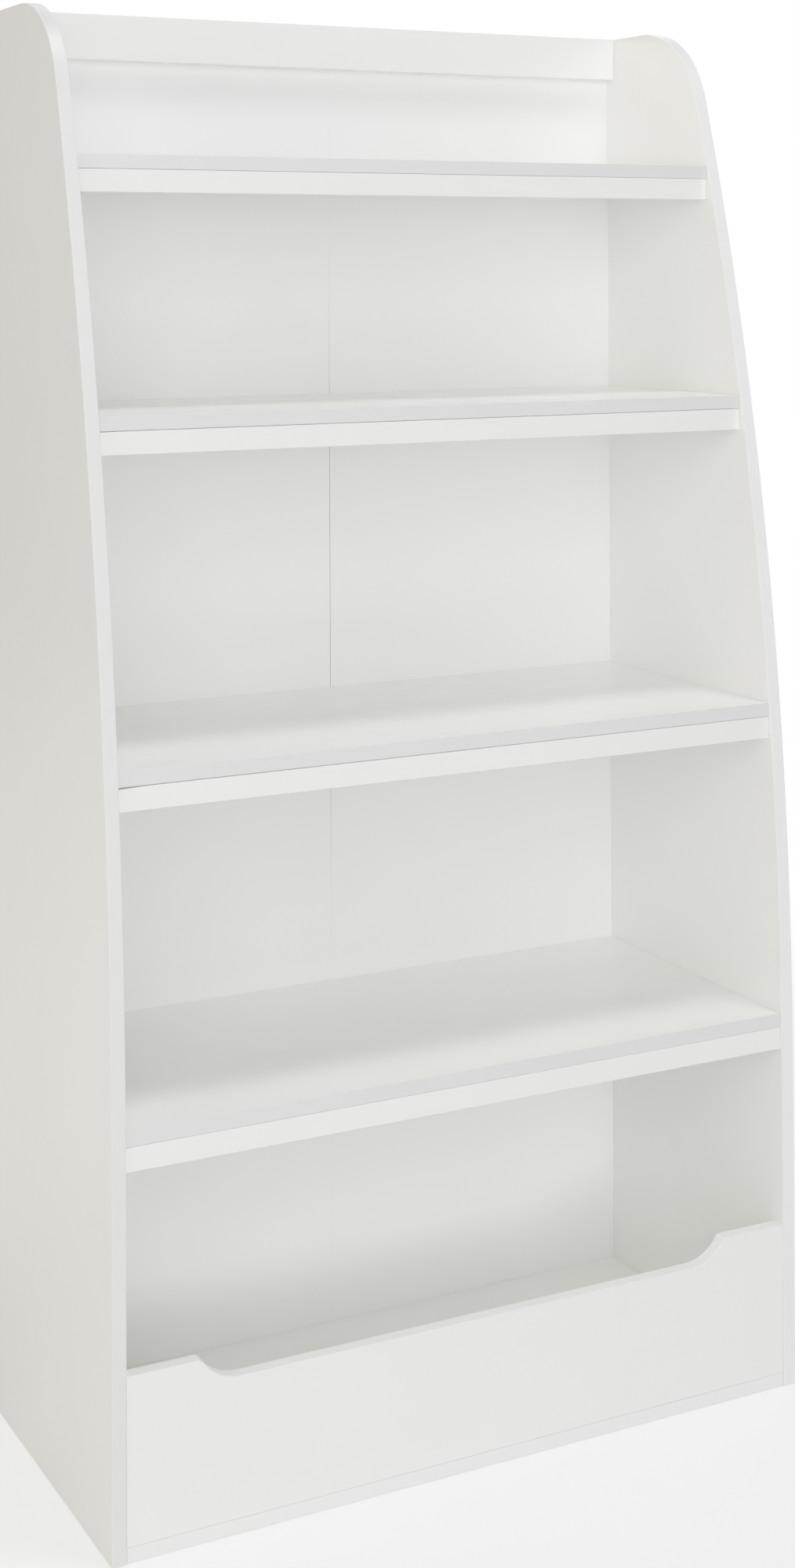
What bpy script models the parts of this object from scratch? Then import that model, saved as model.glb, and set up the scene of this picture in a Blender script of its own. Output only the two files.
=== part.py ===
"""Children's bookcase: four fixed shelves between two curved side boards, over a low open bin.

Flat-pack furniture in 15 mm faced particleboard with thin edge bands, a two-leaf hardboard back,
and cam locks, cam bolts and wooden dowels hidden inside the joints.

Metres, +Z up, front towards -Y. The origin is on the floor, at the middle of the base.
"""

import math

import bmesh
import bpy
from mathutils import Matrix, Vector

# ---------------------------------------------------------------- driving dimensions
WIDTH = 0.800
DEPTH = 0.350            # depth of the side boards, without the back
HEIGHT = 1.520
BOARD = 0.015            # thickness of every faced board
BAND = 0.001             # thickness of the edge bands
GAP = 0.0003             # clearance between pieces that touch

FRONT_STRAIGHT = 0.370   # the side's front edge is upright up to this height
SWEEP_RADIUS = 3.670     # then it leans back along this long arc
NOSE_RADIUS = 0.118      # and turns over into the level top edge
SWEEP_STEPS = 22
NOSE_STEPS = 14

SHELF_TOPS = {"top": 1.355, "upper": 1.091, "middle": 0.7495, "lower": 0.4095}
SHELF_SETBACK = 0.002    # shelf front behind the side's front edge, at the shelf's top
APRON_DROP = 0.039       # shelf top down to the apron's lower edge
APRON_GAP = 0.0008       # open line between a shelf and its apron

RAIL_HEIGHT = 0.050
FLUSH_STEP = 0.001       # bin front and bottom board sit this far behind the sides
BIN_TOP_ENDS = 0.177
BIN_TOP_MIDDLE = 0.153
SCOOP_HALF_LENGTH = 0.2645
SCOOP_RADIUS = 0.050
SCOOP_CORNER_RADIUS = 0.004
SCOOP_STEPS = 8
CORNER_STEPS = 4

BACK_THICKNESS = 0.003
BACK_INSET = 0.001       # back leaves inside the outline of the carcass
TAPE_WIDTH = 0.038
TAPE_THICKNESS = 0.0003

# ---------------------------------------------------------------- joint hardware
CAM_RADIUS = 0.0072
CAM_HEIGHT = 0.0118
CAM_OFFSET = 0.034       # cam centre from the inner face of the side
CAM_BORE_RADIUS = 0.0075
CAM_BORE_DEPTH = 0.0125
CAM_SINK = 0.0002        # cam face below the board's face
CAM_NOTCH_WIDTH = 0.0074
CAM_NOTCH_REACH = 0.0020  # the notch runs this far past the cam's centre
CROSS_LENGTH = 0.0090
CROSS_WIDTH = 0.0016
CROSS_DEPTH = 0.0015
BOLT_BORE_RADIUS = 0.0040
PILOT_RADIUS = 0.0034
PILOT_DEPTH = 0.0115
DOWEL_RADIUS = 0.0037
DOWEL_BORE_RADIUS = 0.0040
DOWEL_IN_SIDE = 0.0105
DOWEL_IN_APRON = 0.0185
END_PLAY = 0.0010        # free space at the end of a bore
JOINT_FROM_BACK = 0.080  # bolt line of the shelves and the bottom board
BIN_JOINT_HEIGHT = 0.090
BOLT_THREAD_RADIUS = 0.0030
BOLT_ROOT_RADIUS = 0.0024
BOLT_COLLAR_RADIUS = 0.0036
BOLT_NECK_RADIUS = 0.0020
BOLT_HEAD_RADIUS = 0.0032
BOLT_TIP_RADIUS = 0.0015
BOLT_CHAMFER = 0.0006
BOLT_COLLAR_LENGTH = 0.0016
BOLT_HEAD_LENGTH = 0.0032
BOLT_HEAD_PAST_CENTRE = 0.0010  # the head ends this far beyond the cam's centre
BOLT_THREADS = 3
DOWEL_CHAMFER = 0.0010
ROUND_STEPS = 12
CUT_CLEAR = 0.002        # a cutter starts this far outside the face it cuts

# ---------------------------------------------------------------- derived sizes
TOTAL_DEPTH = DEPTH + GAP + BACK_THICKNESS + GAP + TAPE_THICKNESS
FRONT = -TOTAL_DEPTH / 2
REAR = FRONT + DEPTH     # rear edges of the boards
INNER = WIDTH / 2 - BOARD
BOARD_END = INNER - GAP
SIDES = {"left": -1, "right": 1}
UP = Vector((0, 0, 1))


def clear_scene():
    for old in list(bpy.data.objects):
        bpy.data.objects.remove(old, do_unlink=True)


def material(name, colour, roughness, metallic=0.0):
    mat = bpy.data.materials.new(name)
    mat.use_nodes = True
    shader = mat.node_tree.nodes["Principled BSDF"]
    shader.inputs["Base Color"].default_value = (*colour, 1.0)
    shader.inputs["Roughness"].default_value = roughness
    shader.inputs["Metallic"].default_value = metallic
    return mat


# ---------------------------------------------------------------- mesh helpers
def add_object(name, mesh, mat):
    """Link a mesh under a name; each object carries its own copy of the base material."""
    own = mat.copy()
    own.name = f"{name}_finish"
    mesh.materials.clear()
    mesh.materials.append(own)
    obj = bpy.data.objects.new(name, mesh)
    bpy.context.scene.collection.objects.link(obj)
    return obj


def mesh_from(bm, name):
    bmesh.ops.recalc_face_normals(bm, faces=bm.faces)
    mesh = bpy.data.meshes.new(name)
    bm.to_mesh(mesh)
    bm.free()
    return mesh


def box(name, low, high, mat):
    """An upright rectangular board between two corners."""
    low, high = Vector(low), Vector(high)
    bm = bmesh.new()
    bmesh.ops.create_cube(bm, size=1.0)
    bmesh.ops.scale(bm, vec=high - low, verts=bm.verts)
    obj = add_object(name, mesh_from(bm, name), mat)
    obj.location = (low + high) / 2
    return obj


def prism(name, outline, push, mat):
    """A flat outline, given as 3-D points, pushed along a vector into a solid."""
    bm = bmesh.new()
    face = bm.faces.new([bm.verts.new(point) for point in outline])
    pushed = bmesh.ops.extrude_face_region(bm, geom=[face])
    moved = [item for item in pushed["geom"] if isinstance(item, bmesh.types.BMVert)]
    bmesh.ops.translate(bm, vec=push, verts=moved)
    return add_object(name, mesh_from(bm, name), mat)


def turned_mesh(name, profile, steps=ROUND_STEPS):
    """Turn a profile of (distance along +X, radius) points about the X axis."""
    bm = bmesh.new()
    verts = [bm.verts.new((along, 0, radius)) for along, radius in profile]
    edges = [bm.edges.new(pair) for pair in zip(verts, verts[1:])]
    bmesh.ops.spin(bm, geom=verts + edges, cent=(0, 0, 0), axis=(1, 0, 0),
                   angle=math.tau, steps=steps, use_merge=True)
    bmesh.ops.remove_doubles(bm, verts=bm.verts, dist=1e-6)
    mesh = mesh_from(bm, name)
    mesh.shade_smooth()
    mesh.set_sharp_from_angle(angle=math.radians(30))
    return mesh


def cylinder_bm(bm, start, direction, radius, length):
    """Add a closed cylinder that starts at a point and runs along a direction."""
    direction = Vector(direction).normalized()
    turn = UP.rotation_difference(direction).to_matrix().to_4x4()
    place = Matrix.Translation(Vector(start) + direction * length / 2) @ turn
    bmesh.ops.create_cone(bm, cap_ends=True, segments=ROUND_STEPS, radius1=radius,
                          radius2=radius, depth=length, matrix=place)


def subtract(target, cutter):
    cutter.hide_render = True
    cutter.display_type = "WIRE"
    cut = target.modifiers.new(cutter.name, "BOOLEAN")
    cut.operation = "DIFFERENCE"
    cut.solver = "EXACT"
    cut.object = cutter


def drill(target, holes):
    """Cut blind holes, each (point on the face, direction into the board, radius, depth).

    Bores of one radius never meet, so each radius has its own cutter.
    """
    for radius in sorted({hole[2] for hole in holes}):
        bm = bmesh.new()
        for point, inwards, _, depth in [hole for hole in holes if hole[2] == radius]:
            start = Vector(point) - Vector(inwards) * CUT_CLEAR
            cylinder_bm(bm, start, inwards, radius, depth + CUT_CLEAR)
        name = f"bores_{target.name}_{radius * 1000:.1f}"
        cutter = bpy.data.objects.new(name, mesh_from(bm, name))
        bpy.context.scene.collection.objects.link(cutter)
        subtract(target, cutter)


# ---------------------------------------------------------------- outlines
def sweep_centre():
    """Centre of the long arc, in (distance behind the front, height)."""
    return SWEEP_RADIUS, FRONT_STRAIGHT


def nose_centre():
    """Centre of the nose arc: it touches the level top and the long arc."""
    behind, height = sweep_centre()
    rise = HEIGHT - NOSE_RADIUS - height
    reach = SWEEP_RADIUS - NOSE_RADIUS
    return behind - math.sqrt(reach ** 2 - rise ** 2), HEIGHT - NOSE_RADIUS


def front_at(height):
    """How far the side's front edge is behind the front plane, below the nose."""
    rise = max(0.0, height - FRONT_STRAIGHT)
    return SWEEP_RADIUS - math.sqrt(SWEEP_RADIUS ** 2 - rise ** 2)


def side_curve(inset):
    """The side's front and top edge as (y, z) points, moved inwards by an inset."""
    sweep_y, sweep_z = sweep_centre()
    nose_y, nose_z = nose_centre()
    lean = math.asin((nose_z - sweep_z) / (SWEEP_RADIUS - NOSE_RADIUS))
    points = [(inset, 0.0)]
    for step in range(SWEEP_STEPS):
        angle = lean * step / SWEEP_STEPS
        radius = SWEEP_RADIUS - inset
        points.append((sweep_y - radius * math.cos(angle), sweep_z + radius * math.sin(angle)))
    for step in range(NOSE_STEPS + 1):
        angle = lean + (math.pi / 2 - lean) * step / NOSE_STEPS
        radius = NOSE_RADIUS - inset
        points.append((nose_y - radius * math.cos(angle), nose_z + radius * math.sin(angle)))
    points.append((DEPTH, HEIGHT - inset))
    return [(FRONT + y, z) for y, z in points]


def scoop_half(inset):
    """Right half of the bin front's top edge as (x, z) points, from the middle outwards."""
    centre_x, centre_z = SCOOP_HALF_LENGTH, BIN_TOP_MIDDLE + SCOOP_RADIUS
    corner_z = BIN_TOP_ENDS - SCOOP_CORNER_RADIUS
    reach = SCOOP_RADIUS + SCOOP_CORNER_RADIUS
    fall = centre_z - corner_z
    corner_x = centre_x + math.sqrt(reach ** 2 - fall ** 2)
    turn = math.acos(fall / reach)
    points = []
    for step in range(SCOOP_STEPS):
        angle = turn * step / SCOOP_STEPS
        radius = SCOOP_RADIUS + inset
        points.append((centre_x + radius * math.sin(angle), centre_z - radius * math.cos(angle)))
    for step in range(CORNER_STEPS + 1):
        angle = turn * (1 - step / CORNER_STEPS)
        radius = SCOOP_CORNER_RADIUS - inset
        points.append((corner_x - radius * math.sin(angle), corner_z + radius * math.cos(angle)))
    points.append((BOARD_END, BIN_TOP_ENDS - inset))
    return points


def scoop_curve(inset):
    """The whole top edge of the bin front, from left to right."""
    right = scoop_half(inset)
    return [(-x, z) for x, z in reversed(right)] + right


# ---------------------------------------------------------------- hardware meshes
def plus_outline(length, width):
    """The twelve corners of a plus sign in the XY plane."""
    far, near = length / 2, width / 2
    quarter = [Vector((far, near, 0)), Vector((near, near, 0)), Vector((near, far, 0))]
    return [Matrix.Rotation(math.radians(90 * turn), 3, "Z") @ point
            for turn in range(4) for point in quarter]


def cam_mesh(mat):
    """Cam lock: its face at z = 0, its body above, its bolt notch open towards +X."""
    bm = bmesh.new()
    cylinder_bm(bm, (0, 0, 0), UP, CAM_RADIUS, CAM_HEIGHT)
    master = add_object("cam_master", mesh_from(bm, "cam_lock"), mat)
    notch_floor = BOARD / 2 - CAM_SINK - CAM_NOTCH_WIDTH / 2
    notch = box("cam_notch", (-CAM_NOTCH_REACH, -CAM_NOTCH_WIDTH / 2, notch_floor),
                (CAM_RADIUS + CUT_CLEAR, CAM_NOTCH_WIDTH / 2, CAM_HEIGHT + CUT_CLEAR), mat)
    cross_start = [point - UP * CUT_CLEAR for point in plus_outline(CROSS_LENGTH, CROSS_WIDTH)]
    cross = prism("cam_cross", cross_start, UP * (CUT_CLEAR + CROSS_DEPTH), mat)
    subtract(master, notch)
    subtract(master, cross)
    bpy.context.view_layer.update()
    shape = master.evaluated_get(bpy.context.evaluated_depsgraph_get())
    mesh = bpy.data.meshes.new_from_object(shape)
    for tool in (master, notch, cross):
        bpy.data.objects.remove(tool, do_unlink=True)
    return mesh


def bolt_mesh():
    """Cam bolt along +X: thread in the side board, collar, neck, and head in the cam."""
    tip = -(PILOT_DEPTH - END_PLAY)
    pitch = (-tip - 2 * BOLT_CHAMFER) / BOLT_THREADS
    head_end = CAM_OFFSET + BOLT_HEAD_PAST_CENTRE
    head_start = head_end - BOLT_HEAD_LENGTH
    profile = [(tip, 0.0), (tip, BOLT_TIP_RADIUS)]
    for ridge in range(BOLT_THREADS):
        start = tip + BOLT_CHAMFER + ridge * pitch
        profile += [(start, BOLT_ROOT_RADIUS), (start + pitch / 2, BOLT_THREAD_RADIUS)]
    profile += [(-GAP, BOLT_ROOT_RADIUS), (GAP, BOLT_COLLAR_RADIUS)]
    profile += [(BOLT_COLLAR_LENGTH, BOLT_COLLAR_RADIUS)]
    profile += [(BOLT_COLLAR_LENGTH + BOLT_CHAMFER, BOLT_NECK_RADIUS)]
    profile += [(head_start, BOLT_NECK_RADIUS), (head_start + BOLT_CHAMFER, BOLT_HEAD_RADIUS)]
    profile += [(head_end - BOLT_CHAMFER, BOLT_HEAD_RADIUS)]
    profile += [(head_end, BOLT_HEAD_RADIUS - BOLT_CHAMFER), (head_end, 0.0)]
    return turned_mesh("cam_bolt", profile)


def dowel_mesh():
    """Beech dowel along +X: x = 0 is the inner face of the side board."""
    low, high = -DOWEL_IN_SIDE, DOWEL_IN_APRON
    edge = DOWEL_RADIUS - DOWEL_CHAMFER
    profile = [(low, 0.0), (low, edge), (low + DOWEL_CHAMFER, DOWEL_RADIUS),
               (high - DOWEL_CHAMFER, DOWEL_RADIUS), (high, edge), (high, 0.0)]
    return turned_mesh("dowel", profile)


# ---------------------------------------------------------------- joints between boards
class Joinery:
    """Places hardware and remembers the holes that each board needs."""

    def __init__(self, finishes):
        self.finishes = finishes
        self.cam = cam_mesh(finishes["zinc"])
        self.bolt = bolt_mesh()
        self.dowel = dowel_mesh()
        self.holes = {}

    def hole(self, board, point, inwards, radius, depth):
        self.holes.setdefault(board, []).append((point, inwards, radius, depth))

    def place(self, name, mesh, finish, location, along, face):
        """Local +X runs along one direction, and local -Z looks out of a face."""
        obj = add_object(name, mesh.copy(), self.finishes[finish])
        along, face = Vector(along), Vector(face)
        axes = Matrix((along, along.cross(face), -face)).transposed()
        obj.rotation_euler = axes.to_euler()
        obj.location = location

    def cam_joint(self, label, board, y, z, face):
        """One cam lock and bolt at each end of a board whose mid-plane is at (y, z)."""
        face = Vector(face)
        for side, sign in SIDES.items():
            inwards = Vector((-sign, 0, 0))
            root = Vector((sign * INNER, y, z))
            end = Vector((sign * BOARD_END, y, z))
            centre = root + inwards * CAM_OFFSET
            mouth = centre + face * BOARD / 2
            self.place(f"cam_bolt_{label}_{side}", self.bolt, "steel", root, inwards, face)
            self.place(f"cam_lock_{label}_{side}", self.cam, "zinc",
                       mouth - face * CAM_SINK, -inwards, face)
            self.hole(board, end, inwards, BOLT_BORE_RADIUS, CAM_OFFSET)
            self.hole(board, mouth, -face, CAM_BORE_RADIUS, CAM_BORE_DEPTH)
            self.hole(f"{side}_side_panel", root, -inwards, PILOT_RADIUS, PILOT_DEPTH)

    def dowel_joint(self, label, board, y, z):
        """One wooden dowel at each end of a board."""
        for side, sign in SIDES.items():
            inwards = Vector((-sign, 0, 0))
            root = Vector((sign * INNER, y, z))
            end = Vector((sign * BOARD_END, y, z))
            self.place(f"dowel_{label}_{side}", self.dowel, "beech", root, inwards, -UP)
            self.hole(board, end, inwards, DOWEL_BORE_RADIUS, DOWEL_IN_APRON + END_PLAY)
            self.hole(f"{side}_side_panel", root, -inwards, DOWEL_BORE_RADIUS,
                      DOWEL_IN_SIDE + END_PLAY)

    def drill_all(self):
        for board, holes in self.holes.items():
            drill(bpy.data.objects[board], holes)


# ---------------------------------------------------------------- sub-parts
def side_boards(finishes):
    for side, sign in SIDES.items():
        inner_x = sign * INNER
        push = Vector((sign * BOARD, 0, 0))
        curve = side_curve(BAND + GAP)
        outline = [(inner_x, y, z) for y, z in curve + [(REAR, 0.0)]]
        prism(f"{side}_side_panel", outline, push, finishes["board"])
        strip = side_curve(0.0) + side_curve(BAND)[::-1]
        outline = [(inner_x, y, z) for y, z in strip]
        prism(f"{side}_side_edge_band", outline, push, finishes["band"])


def banded_board(name, front, bottom, top, finishes):
    """A level board between the sides, with an edge band along its front."""
    box(name, (-BOARD_END, front + BAND + GAP, bottom), (BOARD_END, REAR, top),
        finishes["board"])
    box(f"{name}_edge_band", (-BOARD_END, front, bottom), (BOARD_END, front + BAND, top),
        finishes["band"])


def shelf_with_apron(label, top, finishes, joinery):
    front = FRONT + front_at(top) + SHELF_SETBACK
    bottom = top - BOARD
    banded_board(f"shelf_{label}", front, bottom, top, finishes)
    joinery.cam_joint(f"shelf_{label}", f"shelf_{label}", REAR - JOINT_FROM_BACK,
                      top - BOARD / 2, -UP)
    apron_bottom, apron_top = top - APRON_DROP, bottom - APRON_GAP
    box(f"apron_{label}", (-BOARD_END, front, apron_bottom),
        (BOARD_END, front + BOARD, apron_top), finishes["board"])
    joinery.dowel_joint(f"apron_{label}", f"apron_{label}", front + BOARD / 2,
                        (apron_bottom + apron_top) / 2)


def bottom_board(finishes, joinery):
    banded_board("bottom_panel", FRONT + FLUSH_STEP, 0.0, BOARD, finishes)
    joinery.cam_joint("bottom_panel", "bottom_panel", REAR - JOINT_FROM_BACK, BOARD / 2, -UP)


def top_rail(finishes, joinery):
    box("top_rail", (-BOARD_END, REAR - BOARD, HEIGHT - RAIL_HEIGHT),
        (BOARD_END, REAR, HEIGHT), finishes["board"])
    joinery.cam_joint("top_rail", "top_rail", REAR - BOARD / 2, HEIGHT - RAIL_HEIGHT / 2,
                      (0, 1, 0))


def bin_front(finishes, joinery):
    front = FRONT + FLUSH_STEP
    push = Vector((0, BOARD, 0))
    foot = BOARD + GAP
    corners = [(BOARD_END, foot), (-BOARD_END, foot)]
    outline = [(x, front, z) for x, z in scoop_curve(BAND + GAP) + corners]
    prism("bin_front", outline, push, finishes["board"])
    strip = scoop_curve(0.0) + scoop_curve(BAND)[::-1]
    prism("bin_front_edge_band", [(x, front, z) for x, z in strip], push, finishes["band"])
    joinery.cam_joint("bin_front", "bin_front", front + BOARD / 2, BIN_JOINT_HEIGHT, (0, 1, 0))


def back(finishes):
    """Two hardboard leaves nailed on from behind, with a tape over their seam."""
    near = REAR + GAP
    outer = WIDTH / 2 - BACK_INSET
    for side, sign in SIDES.items():
        low_x, high_x = sorted((sign * outer, sign * GAP))
        box(f"back_leaf_{side}", (low_x, near, BACK_INSET),
            (high_x, near + BACK_THICKNESS, HEIGHT - BACK_INSET), finishes["back"])
    tape_front = near + BACK_THICKNESS + GAP
    box("back_seam_tape", (-TAPE_WIDTH / 2, tape_front, BACK_INSET),
        (TAPE_WIDTH / 2, tape_front + TAPE_THICKNESS, HEIGHT - BACK_INSET), finishes["tape"])


def build():
    clear_scene()
    finishes = {
        "board": material("white_faced_board", (0.84, 0.84, 0.82), 0.38),
        "band": material("white_edge_band", (0.80, 0.81, 0.83), 0.42),
        "back": material("white_hardboard", (0.82, 0.82, 0.80), 0.50),
        "tape": material("paper_tape", (0.62, 0.50, 0.34), 0.70),
        "zinc": material("zinc_alloy", (0.60, 0.61, 0.62), 0.38, 0.9),
        "steel": material("zinc_plated_steel", (0.70, 0.70, 0.68), 0.30, 1.0),
        "beech": material("beech", (0.62, 0.44, 0.27), 0.65),
    }
    joinery = Joinery(finishes)
    side_boards(finishes)
    for label, top in SHELF_TOPS.items():
        shelf_with_apron(label, top, finishes, joinery)
    bottom_board(finishes, joinery)
    top_rail(finishes, joinery)
    bin_front(finishes, joinery)
    back(finishes)
    joinery.drill_all()


build()
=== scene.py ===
"""Looks of the children's bookcase: fine boards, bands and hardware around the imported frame.

Every piece is built in the frame's own metres, with its object at the origin. Places come from
the frame's boxes. The radii of the curved outlines, which a box can't give, and the sizes of the
fine detail are named here.
"""

import math
import random

import bmesh
import bpy
from mathutils import Matrix, Vector


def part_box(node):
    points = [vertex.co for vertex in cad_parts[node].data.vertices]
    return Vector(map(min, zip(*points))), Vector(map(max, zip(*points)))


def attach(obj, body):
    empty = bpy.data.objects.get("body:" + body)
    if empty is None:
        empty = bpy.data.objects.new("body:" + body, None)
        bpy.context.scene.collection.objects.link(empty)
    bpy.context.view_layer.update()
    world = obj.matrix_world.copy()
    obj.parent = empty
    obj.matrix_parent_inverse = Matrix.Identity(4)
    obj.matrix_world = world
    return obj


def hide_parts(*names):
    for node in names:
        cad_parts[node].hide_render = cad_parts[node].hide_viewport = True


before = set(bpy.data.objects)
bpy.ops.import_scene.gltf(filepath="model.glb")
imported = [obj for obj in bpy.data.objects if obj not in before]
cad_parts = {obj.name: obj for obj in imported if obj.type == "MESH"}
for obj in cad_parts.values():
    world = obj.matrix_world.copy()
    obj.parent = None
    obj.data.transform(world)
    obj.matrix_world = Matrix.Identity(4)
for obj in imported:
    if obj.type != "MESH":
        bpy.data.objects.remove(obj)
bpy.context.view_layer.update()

BODY = "root"
UP = Vector((0, 0, 1))
SIDES = {"left": -1, "right": 1}
SHELVES = ("top", "upper", "middle", "lower")

# ---------------------------------------------------------------- places read from the frame
BAND_LOW, BAND_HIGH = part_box("right_side_edge_band")
FRONT = BAND_LOW.y
REAR = BAND_HIGH.y
HEIGHT = BAND_HIGH.z
INNER = BAND_LOW.x
BOARD = BAND_HIGH.x - BAND_LOW.x
BOARD_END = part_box("shelf_lower")[1].x
BIN_TOP_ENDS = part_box("bin_front_edge_band")[1].z

# ---------------------------------------------------------------- outline radii, as in the part
FRONT_STRAIGHT = 0.370
SWEEP_RADIUS = 3.670
NOSE_RADIUS = 0.118
SCOOP_DROP = 0.024
SCOOP_HALF_LENGTH = 0.2645
SCOOP_RADIUS = 0.050
SCOOP_CORNER_RADIUS = 0.004
SWEEP_STEPS = 60
NOSE_STEPS = 28
SCOOP_STEPS = 16
CORNER_STEPS = 6

# ---------------------------------------------------------------- fine detail
BAND = 0.0010            # thickness of the edge bands
GLUE_LINE = 0.00005      # between a band and its board
BAND_ROUNDING = 0.0007
FOIL_ROUNDING = 0.0006   # long edges of the foil-wrapped aprons and rail
BAND_SHORT = 0.0003      # a level board's band ends this much before its board
# The left side's band takes a darker copy with painted shade, and the right side's band takes the
# lit copy with painted light.
SIDE_BAND_LIGHT = {"left": "shaded_side_band", "right": "lit_band"}
SHEET_ROUNDING = 0.00006
# Open line over each apron: at its left end, after its left corner and at its right end.
APRON_GAPS = {
    "top": (0.0005, 0.0004, 0.00025),
    "upper": (0.0008, 0.0006, 0.00045),
    "middle": (0.0020, 0.0007, 0.0004),
    "lower": (0.00025, 0.00020, 0.00012),
}
APRON_CORNER = 0.035     # length of an apron's left end that hangs a little lower
# Half the open seam between the leaves of the back: closed at both ends, sprung open between.
SEAM_CLOSED = 0.00001
SEAM_OPEN = 0.00025
SEAM_OPEN_HEIGHT = 0.87
SEAM_OPEN_REACH = 0.28
SEAM_ENDS = 4            # how abruptly the open stretch ends: 2 is a soft bell, more is a plateau
SEAM_STEPS = 40
TAPE_ROUNDING = 0.0002
SKIN = 0.0003            # laminate seen as a white rim round a raw edge
BORE_PLAY = 0.0003
BORE_STEPS = 40
CUT_CLEAR = 0.002        # how far a cutter stands out of the face that it cuts
SMOOTH_BELOW = math.radians(40)
FLAT_FACE_WEIGHT = 100
SAME_WAY = 0.999         # cosine above which two directions count as one
ALONG = 0.99             # share of an edge's length that has to run along an axis
TOUCHING = 1e-6


# ---------------------------------------------------------------- node helpers
NOISE_LOW = 0.3          # nearly all of a noise lies between these values
NOISE_HIGH = 0.7


def feed(tree, socket, value):
    """Fill an input with a value or with another node's output."""
    if isinstance(value, bpy.types.NodeSocket):
        tree.links.new(value, socket)
    else:
        socket.default_value = value


def connect(tree, target, **inputs):
    """Fill a node's inputs by their names, with _ for each space."""
    for key, value in inputs.items():
        feed(tree, target.inputs[key.replace("_", " ")], value)


def node(tree, kind, settings=None, **inputs):
    """Add a shader node with its settings and its inputs."""
    made = tree.nodes.new(kind)
    for key, value in (settings or {}).items():
        setattr(made, key, value)
    connect(tree, made, **inputs)
    return made


def product(tree, first, second):
    made = node(tree, "ShaderNodeMath", {"operation": "MULTIPLY"})
    feed(tree, made.inputs[0], first)
    feed(tree, made.inputs[1], second)
    return made.outputs[0]


def new_material(name):
    mat = bpy.data.materials.new(name)
    mat.use_nodes = True
    tree = mat.node_tree
    return mat, tree, tree.nodes["Principled BSDF"]


def place_coords(tree, scale=(1, 1, 1)):
    """Position on the object in metres, stretched by a scale for each axis."""
    coords = node(tree, "ShaderNodeTexCoord")
    return node(tree, "ShaderNodeMapping", Vector=coords.outputs["Object"], Scale=scale).outputs[0]


def noise(tree, coords, scale, detail=2.0, roughness=0.5):
    made = node(tree, "ShaderNodeTexNoise", Vector=coords, Scale=scale, Detail=detail,
                Roughness=roughness)
    return made.outputs["Fac"]


def spread(tree, value, low=0.0, high=1.0):
    """Map a noise value, which stays near its middle, to the range low..high."""
    made = node(tree, "ShaderNodeMapRange", Value=value, From_Min=NOISE_LOW, From_Max=NOISE_HIGH,
                To_Min=low, To_Max=high)
    return made.outputs["Result"]


def blend_colours(tree, factor, first, second):
    """Mix two colours. A mix node keeps its colour sockets after those for plain values."""
    made = node(tree, "ShaderNodeMix", {"data_type": "RGBA"})
    feed(tree, made.inputs[0], factor)
    feed(tree, made.inputs[6], first)
    feed(tree, made.inputs[7], second)
    return made.outputs[2]


def bump(tree, height, distance, strength=1.0, below=None):
    made = node(tree, "ShaderNodeBump", Height=height, Distance=distance, Strength=strength)
    if below is not None:
        tree.links.new(below, made.inputs["Normal"])
    return made.outputs["Normal"]


# ---------------------------------------------------------------- materials
# Each finish drifts between a darker and a lighter tone.
TONES = {
    "board": ((0.890, 0.888, 0.867, 1), (0.905, 0.903, 0.884, 1)),
    # The three band tones are lit and shaded copies of one PVC band: the shelf and left side tones
    # are darker with painted shade, and the bright tone holds painted light.
    "shaded_shelf_band": ((0.735, 0.735, 0.730, 1), (0.755, 0.755, 0.748, 1)),
    "shaded_side_band": ((0.765, 0.765, 0.757, 1), (0.785, 0.785, 0.775, 1)),
    "lit_band": ((0.875, 0.875, 0.865, 1), (0.890, 0.890, 0.878, 1)),
    "lacquer": ((0.890, 0.890, 0.875, 1), (0.908, 0.908, 0.895, 1)),
    "hardboard": ((0.185, 0.108, 0.058, 1), (0.245, 0.150, 0.082, 1)),
    "tape": ((0.43, 0.31, 0.19, 1), (0.55, 0.42, 0.28, 1)),
    "zinc": ((0.44, 0.45, 0.46, 1), (0.58, 0.59, 0.60, 1)),
    "steel": ((0.58, 0.58, 0.56, 1), (0.74, 0.74, 0.72, 1)),
    "beech": ((0.46, 0.30, 0.17, 1), (0.66, 0.47, 0.30, 1)),
    "floor": ((0.86, 0.86, 0.86, 1), (0.88, 0.88, 0.88, 1)),
}
HARDBOARD_FLECK = (0.38, 0.26, 0.15, 1)
BOARD_ROUGHNESS = 0.245  # satin: a board near another one is mirrored softly
HANDLING = 0.02          # how far handling makes a board duller or shinier


def faced_board(name):
    """White melamine facing: a pearl-embossed satin skin with a faint drift in tone."""
    mat, tree, shader = new_material(name)
    coords = place_coords(tree)
    drift = spread(tree, noise(tree, coords, scale=5.0, detail=3.0))
    marks = noise(tree, coords, scale=38.0, detail=4.0, roughness=0.6)
    pearl = noise(tree, coords, scale=900.0, detail=1.0)
    orange_peel = noise(tree, coords, scale=210.0)
    handling = spread(tree, marks, low=-HANDLING, high=HANDLING)
    roughness = node(tree, "ShaderNodeMath", {"operation": "ADD"})
    feed(tree, roughness.inputs[0], handling)
    feed(tree, roughness.inputs[1], BOARD_ROUGHNESS)
    peel = bump(tree, orange_peel, distance=0.000012)
    connect(tree, shader, Base_Color=blend_colours(tree, drift, *TONES["board"]),
            Roughness=roughness.outputs[0], Specular_IOR_Level=0.5,
            Normal=bump(tree, pearl, distance=0.000003, below=peel))
    return mat


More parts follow.
